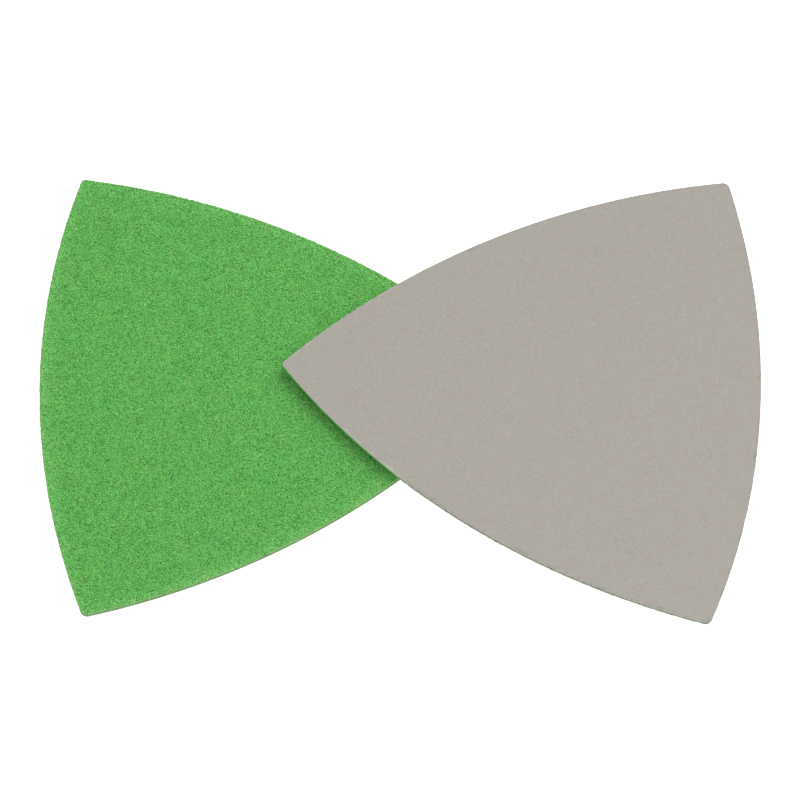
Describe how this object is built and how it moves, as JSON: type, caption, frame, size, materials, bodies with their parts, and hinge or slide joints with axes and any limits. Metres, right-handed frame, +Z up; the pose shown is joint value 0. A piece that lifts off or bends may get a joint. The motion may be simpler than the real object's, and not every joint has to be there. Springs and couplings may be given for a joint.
{
  "type": "triangular sanding sheets",
  "caption": "Loose triangular hook-and-loop sanding sheets with bowed sides, one loops up, the other laid partly over it with its fine abrasive face up.",
  "frame": {"origin": "middle of the pair's bounding box, on the surface that the sheets lie on", "axes": "+X from the lower sheet to the upper one, +Y towards the back, +Z up, out of the surface"},
  "size_m": [0.1146, 0.0816, 0.0034],
  "materials": {
    "stearate_top_coat": "dry, powdery matte",
    "size_coat": "cured resin, satin",
    "abrasive_grain": "fine angular grain, matte",
    "make_coat": "cured resin, satin",
    "backing_paper": "uncoated cut paper edge",
    "laminating_adhesive": "thin dried glue film",
    "loop_ground_knit": "fine green warp knit",
    "loop_pile": "raised green nylon loops"
  },
  "bodies": {
    "lower_sheet": {"lower_stearate_top_coat": "stearate_top_coat", "lower_size_coat": "size_coat", "lower_abrasive_grain": "abrasive_grain", "lower_make_coat": "make_coat", "lower_backing_paper": "backing_paper", "lower_laminating_adhesive": "laminating_adhesive", "lower_loop_ground_knit": "loop_ground_knit", "lower_loop_pile": "loop_pile"},
    "upper_sheet": {"upper_stearate_top_coat": "stearate_top_coat", "upper_size_coat": "size_coat", "upper_abrasive_grain": "abrasive_grain", "upper_make_coat": "make_coat", "upper_backing_paper": "backing_paper", "upper_laminating_adhesive": "laminating_adhesive", "upper_loop_ground_knit": "loop_ground_knit", "upper_loop_pile": "loop_pile"}
  },
  "joints": [
    {"name": "upper_sheet_lift", "type": "slide", "parent": "lower_sheet", "child": "upper_sheet", "axis": [0, 0, 1], "range_m": [0, 0.03]}
  ]
}
